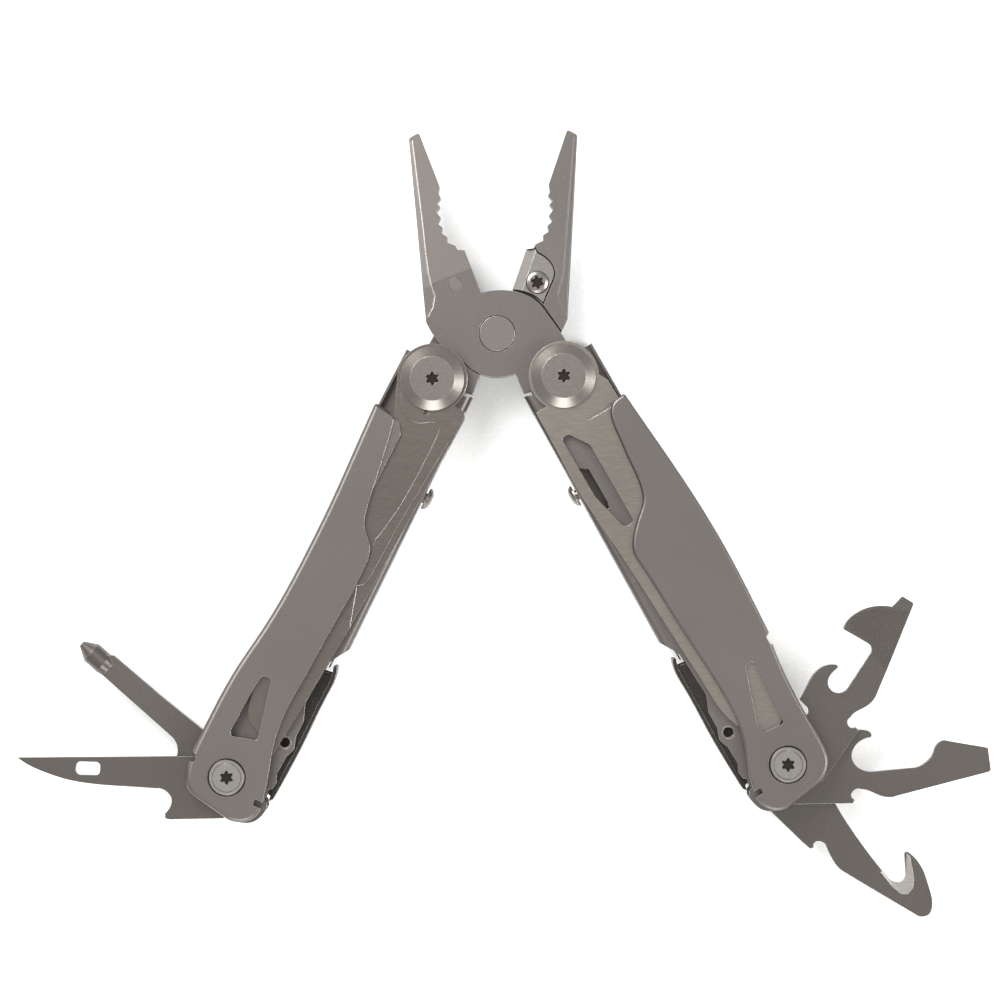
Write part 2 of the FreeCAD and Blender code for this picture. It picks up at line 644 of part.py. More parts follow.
def make_frame(hand):
    body = new_body(hand + "_frame")
    flip = FLIP[hand]
    face = size("wall_face")
    channel = size("channel_half")
    plate(body, wall_outline(hand), -face, face, flip)
    inner_top = WEB_TOP_X - SHEET
    inner_foot = WEB_FOOT_X - SHEET

    def bend_line(edge):
        middle = edge.valueAt((edge.FirstParameter + edge.LastParameter) / 2)
        flat = at_level(edge, face) or at_level(edge, -face)
        return flat and edge.Length > 50.0 and flip * middle.x > 9.0

    round_edges(body, WEB_BEND, bend_line)
    room = [(-FAR, 20.0), (FAR, 20.0), (FAR, WEB_TOP), (inner_top, WEB_TOP), (inner_foot, WEB_FOOT),
            (FAR, WEB_FOOT), (FAR, -2 * FAR), (-FAR, -2 * FAR)]
    cutout(body, room, -channel, channel, flip)
    bore(body, size("post_radius"), -face - OVERCUT, face + OVERCUT)
    bore(body, size("axle_radius"), -face - OVERCUT, face + OVERCUT, 0.0, -size("axle_drop"))
    sketch = new_sketch(body, -face - OVERCUT)
    draw_circle(sketch, size("lock_pin_radius"), flip * float(size("lock_pin_x")), size("lock_pin_y"))
    cut_down(body, sketch, -face - OVERCUT, face + OVERCUT)
    window = [(4.95, -18.4, 0.4), (7.3, -17.0, 0.4), (7.3, -22.5, 0.4), (5.5, -28.4, 0.4),
              (4.95, -26.0)]
    cutout(body, window, -face - OVERCUT, face + OVERCUT, flip)
    stud_hole = new_sketch(body, role="YZ_Plane")
    draw_circle(stud_hole, size("stud_neck"), size("stud_y"), 0.0)
    hole = body.newObject("PartDesign::Pocket", body.Label + "_stud_hole")
    hole.Profile = stud_hole
    hole.Type = "ThroughAll"
    hole.SideType = "Symmetric"
    settle(body, hole)
    body.Placement = HANDLE[hand]
    return body


def make_post(hand):
    """Upper pivot: the jaw's eye turns on its middle and a blade on each end."""
    body = new_body(hand + "_pivot_post")
    wide = size("post_radius")
    thin = size("journal_radius")
    wall = size("wall_face")
    end = size("cover_near") - 0.05
    turn(body, [(0.0, -end), (thin, -end), (thin, -wall), (wide, -wall), (wide, wall), (thin, wall),
                (thin, end), (0.0, end)])
    body.Placement = HANDLE[hand]
    return body


def make_button(hand, side, label):
    """Broad bevelled screw head that closes one end of the upper pivot."""
    body = new_body(label)
    seat = size("cover_near") - 0.05
    rim = size("button_rim")
    top = size("head_face")
    wide = size("button_radius")
    flat = size("button_flat")
    heights = [seat, seat, rim, top, top]
    if side == REAR:
        heights = [-height for height in heights]
    turn(body, list(zip([0.0, wide, wide, flat, 0.0], heights)))
    low, high = levels(side, top - size("recess_depth"), top + OVERCUT)
    sketch = new_sketch(body, low)
    draw_recess(sketch)
    cut_down(body, sketch, low, high)
    body.Placement = HANDLE[hand]
    return body


def make_axle(hand):
    body = new_body(hand + "_tool_axle")
    disc(body, size("axle_radius"), -size("wall_face"), size("wall_face"))
    body.Placement = axle_frame(hand)
    return body


def axle_frame(hand):
    drop = Vector(0, -float(size("axle_drop")), 0)
    return HANDLE[hand].multiply(FreeCAD.Placement(drop, FreeCAD.Rotation()))


def make_axle_screw(hand, side, label):
    """Low screw head with a rounded rim and a sunk flat."""
    body = new_body(label)
    seat = size("cover_near")
    top = size("head_face")
    wide = size("axle_head_radius")
    flat = size("axle_head_flat")
    sunk = top - 0.25
    across = [0.0, wide, wide, wide - 0.12, wide - 0.35, flat + 0.2, flat, 0.0]
    heights = [seat, seat, top - 0.5, top - 0.18, top, top, sunk, sunk]
    if side == REAR:
        heights = [-height for height in heights]
    turn(body, list(zip(across, heights)))
    low, high = levels(side, sunk - size("recess_depth"), top + OVERCUT)
    sketch = new_sketch(body, low)
    draw_recess(sketch)
    cut_down(body, sketch, low, high)
    body.Placement = axle_frame(hand)
    return body


# ---------------------------------------------------------------- rings that share a node

def make_rings(label, frame, inner, outer, heights):
    """Separate flat rings on one axis, as (low, high) pairs of levels."""
    rings = []
    for low, high in heights:
        tube = Part.makeCylinder(float(outer), float(high) - float(low), Vector(0, 0, float(low)))
        hole = Part.makeCylinder(float(inner), float(high) - float(low), Vector(0, 0, float(low)))
        rings.append(tube.cut(hole))
    feature = doc.addObject("Part::Feature", label)
    feature.Label = label
    feature.Shape = Part.makeCompound(rings)
    feature.Placement = frame
    return feature


def make_blade_washers(hand):
    near, far = size("wall_face"), size("washer_face")
    return make_rings(hand + "_blade_washers", HANDLE[hand], size("journal_radius"),
                      size("washer_radius"), [levels(FRONT, near, far), levels(REAR, near, far)])


def make_standoffs(hand):
    near, far = size("wall_face"), size("cover_near")
    return make_rings(hand + "_cover_standoffs", axle_frame(hand), size("axle_radius") - 1.0,
                      size("axle_head_room") + 0.7, [levels(FRONT, near, far), levels(REAR, near, far)])


def make_spacers(hand):
    """Rings that fill the axle between the tools and the side walls."""
    wall = size("channel_half")
    play = size("side_play")
    if hand == "left":
        stack = [("screwdriver_low", "screwdriver_high"), ("awl_low", "awl_high")]
    else:
        stack = [("strap_cutter_low", "strap_cutter_high"), ("flat_driver_low", "flat_driver_high"),
                 ("opener_low", "opener_high")]
    bounds = [-wall]
    for low, high in stack:
        bounds += [size(low) - play, size(high) + play]
    bounds.append(wall)
    heights = list(zip(bounds[0::2], bounds[1::2]))
    return make_rings(hand + "_tool_spacers", axle_frame(hand), size("axle_radius"),
                      size("spacer_radius"), heights)


# ---------------------------------------------------------------- lock and stud

def make_lock_rocker(hand):
    """Folded rocker in the lower part of the web; its flanges straddle the tools on a pin."""
    body = new_body(hand + "_lock_rocker")
    flip = FLIP[hand]
    face = size("wall_face") - 0.1
    strip = [(9.35, -59.4, 0.3), (9.95, -61.2, BEND), (10.15, -66.0, BEND), (10.35, -76.0, BEND),
             (10.3, -83.0, BEND), (10.1, -88.9), (9.6, -89.6), (9.4, -88.9), (9.55, -83.0, BEND),
             (9.6, -76.0, BEND), (9.4, -66.0, BEND), (9.2, -61.6, BEND), (8.7, -59.9)]
    plate(body, strip, -face, face, flip)
    ear = [(9.6, -61.3), (7.3, -61.6), (6.6, -69.0), (5.7, -75.2, 1.0), (5.7, -79.9, 1.0),
           (8.0, -84.0), (8.7, -88.4), (9.7, -88.7)]
    inner = size("channel_half") - 0.9
    outer = size("channel_half") - 0.1
    for side in (FRONT, REAR):
        low, high = levels(side, inner, outer)
        plate(body, ear, low, high, flip)
    sketch = new_sketch(body, -face)
    draw_circle(sketch, size("lock_pin_radius") + size("run"), flip * float(size("lock_pin_x")),
                size("lock_pin_y"))
    cut_down(body, sketch, -face, face)
    body.Placement = HANDLE[hand]
    return body


def make_lock_pin(hand):
    body = new_body(hand + "_lock_pin")
    face = size("wall_face")
    disc(body, size("lock_pin_radius"), -face, face)
    for side in (FRONT, REAR):
        low, high = levels(side, size("lock_pin_floor"), face)
        bore(body, size("lock_pin_bore"), low, high)
    spot = Vector(FLIP[hand] * float(size("lock_pin_x")), float(size("lock_pin_y")), 0)
    body.Placement = HANDLE[hand].multiply(FreeCAD.Placement(spot, FreeCAD.Rotation()))
    return body


def make_lock_spring(hand):
    """Leaf spring on the web's inner face that holds the rocker's upper end out."""
    body = new_body(hand + "_lock_spring")
    leaf = [(8.62, -42.0), (8.32, -42.0), (7.85, -60.6), (8.1, -60.6)]
    reach = size("channel_half") - 2.5
    plate(body, leaf, -reach, reach, FLIP[hand])
    body.Placement = HANDLE[hand]
    return body


def make_stop_stud(hand):
    """Mushroom stud riveted through the web."""
    body = new_body(hand + "_stop_stud")
    neck = size("stud_neck")
    wide = size("stud_radius")
    back = -SHEET - 0.1
    turn(body, [(back - 0.4, 0.0), (back - 0.4, neck + 0.5), (back, neck + 0.5), (back, neck),
                (0.35, neck), (0.35, wide), (0.75, wide), (1.2, wide - 0.35), (1.5, wide - 0.9),
                (1.62, wide - 1.6), (1.62, 0.0)], "H_Axis", "XY_Plane")
    drop = (WEB_TOP - float(size("stud_y"))) / (WEB_TOP - WEB_FOOT)
    web_x = WEB_TOP_X + (WEB_FOOT_X - WEB_TOP_X) * drop
    flip = FLIP[hand]
    spin = FreeCAD.Rotation(Vector(0, 0, 1), 0 if flip > 0 else 180)
    spot = FreeCAD.Placement(Vector(flip * (web_x + 0.02), float(size("stud_y")), 0), spin)
    body.Placement = HANDLE[hand].multiply(spot)
    return body


# ---------------------------------------------------------------- outer blades

def tang(step_y):
    """Round tang of an outer blade, from its step on the web side over the top."""
    radius = float(size("tang_radius"))
    start = math.degrees(math.asin(step_y / radius))
    points = []
    for step in range(13):
        angle = math.radians(start + (207 - start) * step / 12)
        points.append((radius * math.cos(angle), radius * math.sin(angle), BEND))
    points[0] = points[0][:2]
    points[-1] = points[-1][:2]
    return points


KNIFE_BACK = [(9.15, -10.0), (8.95, -20.0), (8.7, -30.0), (8.45, -40.0), (8.1, -51.5), (7.5, -60.0),
              (6.9, -70.0)]
SLOT_BLADE_BACK = [(8.5, -8.0), (8.7, -15.0), (8.85, -20.0), (8.6, -27.0), (8.0, -35.0), (7.6, -42.0),
                   (7.2, -50.0), (6.85, -58.0), (6.4, -67.5), (5.9, -74.0)]


def knife_outline():
    """Drop point blade: back on the web side, edge under the cover."""
    back = [(8.8, -2.9), (9.25, -4.2)] + bends(KNIFE_BACK)
    belly = [(5.9, -81.0), (3.2, -79.4, BEND), (0.8, -78.0, BEND), (-1.6, -76.4, BEND),
             (-2.9, -73.4, BEND), (-3.7, -69.0, BEND), (-4.4, -60.0, BEND), (-4.7, -45.0, BEND)]
    heel = [(-4.8, -17.0), (-3.4, -15.0), (-2.9, -11.0), (-4.9, -6.2)]
    return tang(-2.9)[::-1] + back + belly + heel


def slot_blade_outline():
    """Sheepsfoot blade with a long thumb slot."""
    back = [(8.4, -3.6), (8.45, -4.4)] + bends(SLOT_BLADE_BACK)
    point = [(4.6, -77.6), (3.0, -80.2, BEND), (-0.5, -82.0, BEND), (-3.6, -80.6, BEND), (-5.0, -76.0)]
    edge = [(-5.6, -60.0, BEND), (-5.9, -40.0, BEND), (-5.9, -20.0)]
    heel = [(-5.2, -17.0), (-5.6, -13.0), (-7.0, -11.0), (-7.3, -8.9), (-7.2, -5.0)]
    return tang(-3.6)[::-1] + back + point + edge + heel


def slot_blade_slot():
    return [(6.65, -10.6, 0.8), (5.0, -10.4, 0.9), (2.3, -14.4, 1.2), (2.3, -32.1, 0.9),
            (4.6, -32.1, 1.3), (6.6, -23.8, 0.8)]


def knife_grind():
    """Ground face below the tang and the raised back strip."""
    return [(-6.0, -5.0), (-4.3, -5.2), (-2.6, -7.9, BEND), (0.0, -9.4, BEND), (2.5, -8.6, BEND),
            (4.1, -7.6, BEND), (5.3, -7.6, BEND), (6.0, -9.4, BEND), (6.15, -14.0, BEND),
            (6.15, -20.0, BEND), (5.8, -26.0, BEND), (5.1, -31.0, BEND), (4.6, -33.6), (4.9, -36.0),
            (5.3, -40.5, BEND), (5.6, -44.0, BEND), (8.6, -52.5), (9.5, -90.0), (-20.0, -90.0),
            (-20.0, -5.0)]


def knife_swedge():
    """Second bevel along the back."""
    return [(9.6, -8.0), (8.6, -10.0), (7.95, -20.0, BEND), (7.35, -30.0, BEND), (7.1, -40.0, BEND),
            (6.5, -42.6, BEND), (5.5, -43.3), (8.15, -51.6), (12.0, -51.6), (12.0, -8.0)]


def blade_blank(label, hand, side, outline):
    body = new_body(label)
    low, high = levels(side, size("blade_near"), size("blade_far"))
    plate(body, outline, low, high, FLIP[hand])
    low, high = levels(side, size("blade_near") - OVERCUT, size("blade_far") + OVERCUT)
    bore(body, size("journal_radius") + size("run"), low, high)
    return body


def grind(body, hand, side, outline, depth):
    """Lower the outer face of a blade inside an outline."""
    low, high = levels(side, size("blade_far") - depth, size("blade_far") + OVERCUT)
    cutout(body, outline, low, high, FLIP[hand])


def make_knife():
    body = blade_blank("left_knife_blade", "left", FRONT, knife_outline())
    grind(body, "left", FRONT, knife_grind(), 0.3)
    grind(body, "left", FRONT, knife_swedge(), 0.4)
    low, high = size("blade_near") + 0.6, size("blade_far") + OVERCUT
    sketch = new_sketch(body, low)
    draw_circle(sketch, Size(0.55, "0.55"), 1.9, -6.5)
    cut_down(body, sketch, low, high)
    body.Placement = HANDLE["left"]
    return body


def make_slot_blade():
    body = blade_blank("right_sheepsfoot_blade", "right", FRONT, slot_blade_outline())
    low, high = levels(FRONT, size("blade_near") - OVERCUT, size("blade_far") + OVERCUT)
    cutout(body, slot_blade_slot(), low, high, FLIP["right"])
    shelf = [(-8.5, -9.4), (-0.5, -9.4), (0.5, -9.75), (-0.5, -10.1), (-8.5, -10.1)]
    grind(body, "right", FRONT, shelf, 0.35)
    body.Placement = HANDLE["right"]
    return body


SAW_TOOTH = 2.0
SAW_FIRST = -20.0
SAW_LAST = -76.0


def make_saw():
    """Wood saw on the rear of the left handle, toothed along the covered edge."""
    teeth = []
    count = int((SAW_FIRST - SAW_LAST) / SAW_TOOTH)
    for step in range(count):
        y = SAW_LAST + SAW_TOOTH * step
        teeth.append((-3.2, y + 0.2))
        teeth.append((-4.6, y + 0.5 * SAW_TOOTH))
    back = [(8.8, -2.9), (9.25, -4.2)] + bends(KNIFE_BACK)
    point = [(5.9, -80.0), (-3.2, -78.0)]
    heel = [(-3.2, SAW_FIRST + 1.0), (-2.9, -11.0), (-4.9, -6.2)]
    outline = tang(-2.9)[::-1] + back + point + teeth + heel
    body = blade_blank("left_saw_blade", "left", REAR, outline)
    body.Placement = HANDLE["left"]
    return body


def make_file():
    """File on the rear of the right handle, with a plain tang and a straight body."""
    body = blade_blank("right_file_blade", "right", REAR, slot_blade_outline())
    body.Placement = HANDLE["right"]
    return body


# ---------------------------------------------------------------- small tools

def hub(start, stop, radius=5.0):
    """Round hub of a tool about its axle, from one bearing to another, in degrees."""
    count = max(3, int(abs(stop - start) / 25))
    points = []
    for step in range(count + 1):
        angle = math.radians(start + (stop - start) * step / count)
        points.append((radius * math.cos(angle), radius * math.sin(angle), BEND))
    points[0] = points[0][:2]
    points[-1] = points[-1][:2]
    return points


def awl_outline():
    """Slim clip blade with a thumb foot on its left."""
    belly = [(0.9, 42.2), (-0.7, 39.4, BEND), (-1.8, 36.2, BEND), (-2.7, 32.8, BEND),
             (-3.25, 28.8, BEND), (-3.45, 24.5, BEND), (-3.45, 14.2)]
    foot = [(-3.9, 12.1, BEND), (-5.5, 10.95, BEND), (-7.2, 11.3, BEND), (-8.3, 12.1), (-9.3, 12.0, 0.4),
            (-9.45, 11.0), (-8.5, 0.4, 0.4), (-6.9, -0.6)]
    return belly + foot + hub(200, 380) + [(3.7, 4.0)]


def awl_eye():
    return [(-1.75, 30.4, 0.9), (0.85, 30.4, 0.9), (1.05, 25.6, 0.9), (-1.55, 25.6, 0.9)]


def screwdriver_shank():
    """Flat shank of the cross driver."""
    return [(-0.7, 34.6), (1.5, 34.6), (2.6, 33.1), (2.8, 20.0), (3.3, 9.5), (4.6, 3.0)] \
        + hub(10, -200) + [(-6.6, 4.0), (-5.6, 9.2), (-4.0, 10.4), (-2.4, 11.8, BEND), (-1.85, 14.0),
                           (-1.85, 33.2)]


def opener_outline():
    """Can opener: half-moon head with a small driver tip, and a hook below it."""
    head = [(-2.0, 40.5, 0.4), (0.75, 40.8, 0.5), (3.9, 29.4), (5.9, 21.8), (6.05, 20.2, BEND),
            (5.6, 18.4, BEND), (4.75, 16.6, BEND), (4.5, 15.0)]
    foot = [(4.8, 13.7, BEND), (5.5, 13.4, BEND), (6.6, 14.1), (7.4, 13.9, 0.3), (7.7, 8.0), (7.9, 1.6)]
    back = [(-2.6, 9.9), (-2.7, 10.9, BEND), (-3.5, 11.4), (-5.6, 11.7, 0.2), (-6.1, 14.6, BEND),
            (-6.5, 17.2, BEND), (-6.2, 19.2, BEND), (-5.2, 20.8, BEND), (-3.9, 21.7), (-3.45, 21.4)]
    hollow = [(-3.75, 19.9, BEND), (-3.6, 18.4, BEND), (-2.7, 17.3, BEND), (-1.5, 17.0, BEND),
              (-0.2, 17.5, BEND), (0.5, 18.7, BEND), (0.5, 20.0), (-0.05, 27.6), (-0.5, 28.5, BEND),
              (-1.6, 28.85), (-7.4, 28.1, 0.4)]
    moon = [(-7.7, 30.2, BEND), (-7.3, 32.0, BEND), (-6.1, 34.4, BEND), (-4.4, 36.2, BEND), (-2.3, 37.6)]
    return head + foot + hub(10, -195) + [(-4.6, 5.0)] + back + hollow + moon


def flat_driver_outline():
    """Flat driver with a bottle opener's hollow beside the shank."""
    blade = [(-3.0, 40.4, 0.4), (1.7, 41.0, 0.6), (6.6, 22.2), (6.9, 20.4, BEND), (6.5, 18.6, BEND),
             (5.6, 16.6, BEND), (5.3, 15.0)]
    foot = [(5.5, 13.6, BEND), (6.2, 13.1, BEND), (7.4, 13.7), (8.1, 13.4, 0.3), (8.3, 0.9)]
    back = [(-4.9, 8.0), (-5.7, 12.0), (-6.6, 14.4), (-6.5, 15.8, BEND), (-6.0, 16.9, BEND),
            (-5.4, 17.1, BEND), (-5.0, 16.5)]
    hollow = [(-4.6, 15.3, BEND), (-3.3, 13.8, BEND), (-1.4, 13.15, BEND), (0.5, 13.9, BEND),
              (1.6, 15.6, BEND), (1.8, 17.6), (1.05, 25.0), (0.7, 26.7, BEND), (-0.2, 28.1, BEND),
              (-1.7, 29.3, BEND), (-3.6, 30.1, BEND), (-4.4, 31.2, BEND), (-4.35, 32.4)]
    return blade + foot + hub(0, -190) + back + hollow


def strap_cutter_outline():
    """Gut hook: a hooked head with a ground inner edge."""
    head = [(1.0, 40.3), (5.9, 24.4), (6.2, 22.2, BEND), (5.8, 20.1, BEND), (5.2, 18.2)]
    foot = [(5.4, 16.5, BEND), (6.2, 15.9, BEND), (7.2, 16.5), (7.9, 16.2, 0.3), (8.15, 14.2), (8.9, 3.0),
            (6.0, -1.0)]
    inner = [(-4.4, 5.6), (-1.9, 12.9), (-1.1, 17.0, BEND), (-0.4, 22.5, BEND), (0.05, 28.0, BEND),
             (0.1, 31.4), (-0.3, 32.7, BEND), (-1.3, 33.4, BEND), (-2.5, 33.2, BEND), (-3.2, 32.5),
             (-5.3, 29.8), (-5.8, 29.5, BEND), (-6.3, 30.0)]
    hook = [(-6.5, 32.0, BEND), (-6.1, 34.5, BEND), (-4.8, 37.6, BEND), (-2.4, 41.3, BEND),
            (-1.0, 41.9, BEND), (0.3, 41.4, BEND)]
    return head + foot + hub(-10, -215) + inner + hook


def tool_frame(hand, lean):
    axle = left_axle if hand == "left" else right_axle
    return placed(axle.x, axle.y, lean)


def tool_blank(label, hand, lean, outline, low, high):
    body = new_body(label)
    plate(body, outline, low, high)
    bore(body, size("axle_radius") + size("run"), low - OVERCUT, high + OVERCUT)
    body.Placement = tool_frame(hand, lean)
    return body


def make_awl():
    low, high = size("awl_low"), size("awl_high")
    body = tool_blank("left_awl_blade", "left", size("awl_lean"), awl_outline(), low, high)
    cutout(body, awl_eye(), low - OVERCUT, high + OVERCUT)
    return body


def make_screwdriver():
    """Cross driver: a flat shank that ends in a turned point with four flutes."""
    low, high = size("screwdriver_low"), size("screwdriver_high")
    body = tool_blank("left_cross_driver", "left", size("screwdriver_lean"), screwdriver_shank(), low, high)
    centre = float(low + high) / 2
    axis_x = 0.4
    sketch = new_sketch(body, (low + high) - centre)
    draw(sketch, [(axis_x, 32.0), (axis_x + 1.5, 32.0), (axis_x + 1.85, 33.6), (axis_x + 1.85, 36.9),
                  (axis_x + 0.3, 39.5), (axis_x, 39.6)])
    point = body.newObject("PartDesign::Revolution", body.Label + "_point")
    point.Profile = sketch
    point.ReferenceAxis = (sketch, ["V_Axis"])
    point.Angle = 360
    settle(body, point)
    return body


def make_opener():
    low, high = size("opener_low"), size("opener_high")
    body = tool_blank("right_can_opener", "right", -size("opener_lean"), opener_outline(), low, high)
    return body


def make_flat_driver():
    low, high = size("flat_driver_low"), size("flat_driver_high")
    body = tool_blank("right_flat_driver", "right", -size("flat_driver_lean"), flat_driver_outline(),
                      low, high)
    return body


def make_strap_cutter():
    low, high = size("strap_cutter_low"), size("strap_cutter_high")
    body = tool_blank("right_strap_cutter", "right", -size("strap_cutter_lean"), strap_cutter_outline(),
                      low, high)
    return body


# ---------------------------------------------------------------- the whole tool

def make_handle(hand):
    pieces = [make_frame(hand)]
    for side, word in ((FRONT, "front"), (REAR, "rear")):
        pieces.append(make_cover(hand, side, "%s_%s_cover" % (hand, word)))
        pieces.append(make_button(hand, side, "%s_%s_pivot_button" % (hand, word)))
        pieces.append(make_axle_screw(hand, side, "%s_%s_axle_screw" % (hand, word)))
    pieces += [make_post(hand), make_blade_washers(hand), make_axle(hand), make_standoffs(hand)]
    pieces += [make_spacers(hand), make_lock_rocker(hand), make_lock_pin(hand), make_lock_spring(hand)]
    pieces.append(make_stop_stud(hand))
    return pieces


def make_all():
    turned_over = BACK_JAW.multiply(OVER)
    pieces = [make_rivet()]
    for word, frame in (("front", FRONT_JAW), ("back", turned_over)):
        pieces.append(make_jaw(word + "_jaw", frame))
        pieces.append(make_cutter(word + "_jaw_cutter", frame))
        pieces.append(make_cutter_screw(word + "_jaw_cutter_screw", frame))
    pieces += make_handle("left")
    pieces += make_handle("right")
    pieces += [make_knife(), make_saw(), make_slot_blade(), make_file()]
    pieces += [make_awl(), make_screwdriver(), make_opener(), make_flat_driver(), make_strap_cutter()]
    return pieces


pieces = make_all()
doc.recompute()
for item in doc.Objects:
    if "Invalid" in item.State or "Error" in item.State:
        raise RuntimeError("%s is in a failed state" % item.Name)
for piece in pieces:
    if piece.Shape.isNull() or not piece.Shape.isValid():
        raise RuntimeError("%s has no valid shape" % piece.Label)

os.makedirs("parts", exist_ok=True)
box = FreeCAD.BoundBox()
for piece in pieces:
    piece.Shape.exportStep("parts/%s.step" % piece.Label)
    box.add(piece.Shape.BoundBox)
print("%d pieces, x %.3f..%.3f, y %.3f..%.3f, z %.3f..%.3f"
      % (len(pieces), box.XMin, box.XMax, box.YMin, box.YMax, box.ZMin, box.ZMax))
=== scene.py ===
"""Looks of a folding multi tool that lies open on a pale table."""

import math

import bpy
from mathutils import Matrix, Vector


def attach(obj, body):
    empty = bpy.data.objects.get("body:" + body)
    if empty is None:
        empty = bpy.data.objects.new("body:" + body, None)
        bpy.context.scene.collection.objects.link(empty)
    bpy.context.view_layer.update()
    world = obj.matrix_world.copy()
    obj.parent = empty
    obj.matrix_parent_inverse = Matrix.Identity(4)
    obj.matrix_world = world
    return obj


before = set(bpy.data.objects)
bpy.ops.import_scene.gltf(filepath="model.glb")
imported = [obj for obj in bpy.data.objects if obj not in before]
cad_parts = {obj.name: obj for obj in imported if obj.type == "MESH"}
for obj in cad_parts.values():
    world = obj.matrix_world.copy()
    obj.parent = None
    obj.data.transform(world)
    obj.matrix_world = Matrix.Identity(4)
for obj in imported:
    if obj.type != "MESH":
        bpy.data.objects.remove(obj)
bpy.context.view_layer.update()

bl_info = {
    "name": "Folding Multi Tool",
    "version": (1, 0, 0),
    "blender": (4, 5, 0),
    "location": "3D View > Sidebar > Multi Tool",
    "description": "Surfaces, ground faces and stage of a folding multi tool",
    "category": "Object",
}

# ---------------------------------------------------------------- where the tool's pieces are, in mm

MID_LEVEL = 10.2
MAIN_RIVET = Vector((-1.467, 38.07, MID_LEVEL))
LEFT_PIVOT = Vector((-14.337, 28.991, MID_LEVEL))
RIGHT_PIVOT = Vector((11.764, 29.527, MID_LEVEL))
RIGHT_AXLE = Vector((56.211, -47.581, MID_LEVEL))


def frame_at(spot, lean):
    """A piece's own frame: its spot and its lean from upright, positive to the left."""
    return Matrix.Translation(spot) @ Matrix.Rotation(math.radians(lean), 4, "Z")


FRONT_JAW = frame_at(MAIN_RIVET, 21.1)
BACK_JAW = frame_at(MAIN_RIVET, -18.75)
LEFT_HANDLE = frame_at(LEFT_PIVOT, -27.26)
RIGHT_HANDLE = frame_at(RIGHT_PIVOT, 29.96)
CAN_OPENER = frame_at(RIGHT_AXLE, -37.5)
STRAP_CUTTER = frame_at(RIGHT_AXLE, -138.0)

AXLE_DROP = 89.0            # upper pivot to tool axle
LOCK_PIN = (7.0, -77.7)     # in the left handle's frame; the right handle's is its mirror image
CUTTER_SCREW = (-4.3, 12.2)
JAW_HALF = 4.5              # half the jaws' thickness at the lap
JAW_TAPER_FROM = 14.0       # where the jaws start to thin towards the tip
JAW_TAPER = 1.5 / 30.5      # thinning per mm of length
OPENER_FACE = 3.75          # outer face of the can opener
STRAP_CUTTER_FACE = -1.35   # front face of the strap cutter
PROUD = 0.02                # a laid face stands this far off the steel below it

# sockets: radius at the middle of the lobes, half the lobes' depth, level of the floor
BUTTON_SOCKET = (1.13, 0.2, 9.7)
AXLE_SOCKET = (1.13, 0.2, 9.5)
CUTTER_SOCKET = (1.1, 0.2, 4.2)
PIN_HOLLOW = (0.98, 0.0, 4.8)

# ---------------------------------------------------------------- colours and nodes


def linear(colour):
    """An sRGB hex colour, such as "7D7873", as linear red, green, blue and alpha."""
    parts = [int(colour[start:start + 2], 16) / 255 for start in (0, 2, 4)]
    bent = [part / 12.92 if part <= 0.04045 else ((part + 0.055) / 1.055) ** 2.4 for part in parts]
    return (*bent, 1.0)


def add(tree, kind, settings=None, links=None, **values):
    """Add a shader node: attributes from settings, sockets from values or from linked outputs."""
    node = tree.nodes.new(kind)
    for name, value in (settings or {}).items():
        setattr(node, name, value)
    for name, value in values.items():
        node.inputs[name.replace("_", " ")].default_value = value
    for name, source in (links or {}).items():
        tree.links.new(source, node.inputs[name])
    return node


def per_mm(features):
    """Pattern scale for this many features in a millimetre, in a scene measured in metres."""
    return features * 1000


def shades(tree, factor, dark, light, low=0.3, high=0.7):
    """Blend between two linear colours along a factor."""
    ramp = add(tree, "ShaderNodeValToRGB", links={"Fac": factor})
    ramp.color_ramp.elements[0].position = low
    ramp.color_ramp.elements[0].color = dark
    ramp.color_ramp.elements[1].position = high
    ramp.color_ramp.elements[1].color = light
    return ramp.outputs["Color"]


def spread(tree, factor, low, high):
    """Map a factor of 0 to 1 to a range."""
    node = add(tree, "ShaderNodeMapRange", links={"Value": factor}, To_Min=low, To_Max=high)
    return node.outputs["Result"]


def darker(colour, share):
    """A linear colour with a share of its light."""
    return (colour[0] * share, colour[1] * share, colour[2] * share, 1.0)


